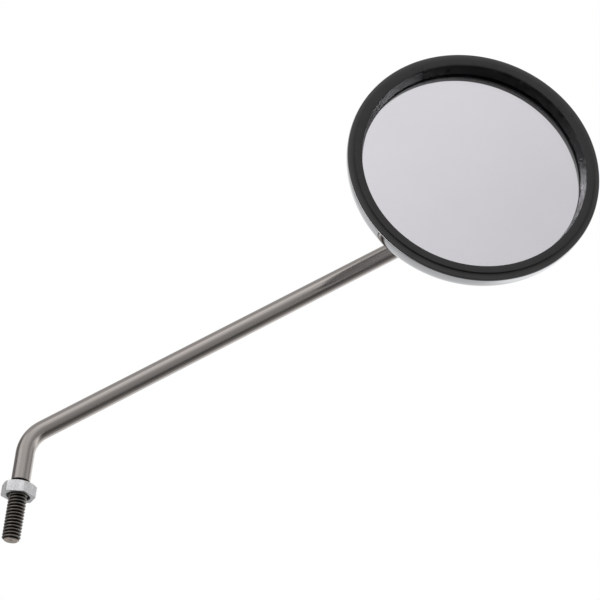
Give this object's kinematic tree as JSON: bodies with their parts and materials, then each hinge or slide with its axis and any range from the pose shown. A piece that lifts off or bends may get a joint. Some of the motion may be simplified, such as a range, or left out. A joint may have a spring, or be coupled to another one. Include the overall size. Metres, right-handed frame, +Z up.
{
  "type": "motorcycle mirror",
  "caption": "Round rear-view mirror with a rubber rim and chrome bowl, on a ball joint at the end of a bent stem with a threaded foot and lock nut.",
  "frame": {"origin": "On the axis of the stem's thread, in the plane of the lock nut's clamping face, at the top of the free thread", "axes": "+Z up along the thread, +X the way the stem leans, -Y the way the glass looks"},
  "size_m": [0.2314, 0.0609, 0.2357],
  "materials": {
    "stem_steel": "drawn stainless bar, polished to a dull shine",
    "zinc_plate": "bright zinc plate, faintly mottled",
    "ball_steel": "ground steel, greased",
    "seat_nylon": "turned nylon, natural colour",
    "chrome": "chrome plate on pressed steel",
    "rubber": "moulded black rubber, satin",
    "mirror_glass": "flat silvered glass",
    "foam": "closed-cell foam",
    "screw_steel": "zinc-plated steel"
  },
  "bodies": {
    "stem": {"stem": "stem_steel"},
    "lock_nut": {"lock_nut": "zinc_plate"},
    "ball": {"ball": "ball_steel"},
    "seats": {"rear_seat": "seat_nylon", "front_seat": "seat_nylon", "disc_spring": "ball_steel"},
    "head": {"clamp_cap": "chrome", "cap_gasket": "rubber", "bracket_plate": "zinc_plate", "shell": "chrome", "rim_ring": "rubber", "mirror_glass": "mirror_glass", "glass_pad": "foam", "screw_1": "screw_steel", "screw_2": "screw_steel", "screw_3": "screw_steel", "lock_washer_1": "screw_steel", "lock_washer_2": "screw_steel", "lock_washer_3": "screw_steel", "small_nut_1": "zinc_plate", "small_nut_2": "zinc_plate", "small_nut_3": "zinc_plate"}
  },
  "joints": [
    {"name": "nut_travel", "type": "slide", "parent": "stem", "child": "lock_nut", "axis": [0, 0, -1], "range_m": [0, 0.013]},
    {"name": "ball_turn", "type": "hinge", "parent": "stem", "child": "ball", "pos_m": [0.16904, -0.024, 0.16096], "axis": [0, -1, 0], "continuous": true},
    {"name": "head_tilt", "type": "hinge", "parent": "ball", "child": "seats", "pos_m": [0.16904, -0.024, 0.16096], "axis": [1, 0, 0], "range_deg": [-20, 20]},
    {"name": "head_turn", "type": "hinge", "parent": "seats", "child": "head", "pos_m": [0.16904, -0.024, 0.16096], "axis": [0, -1, 0], "continuous": true}
  ]
}
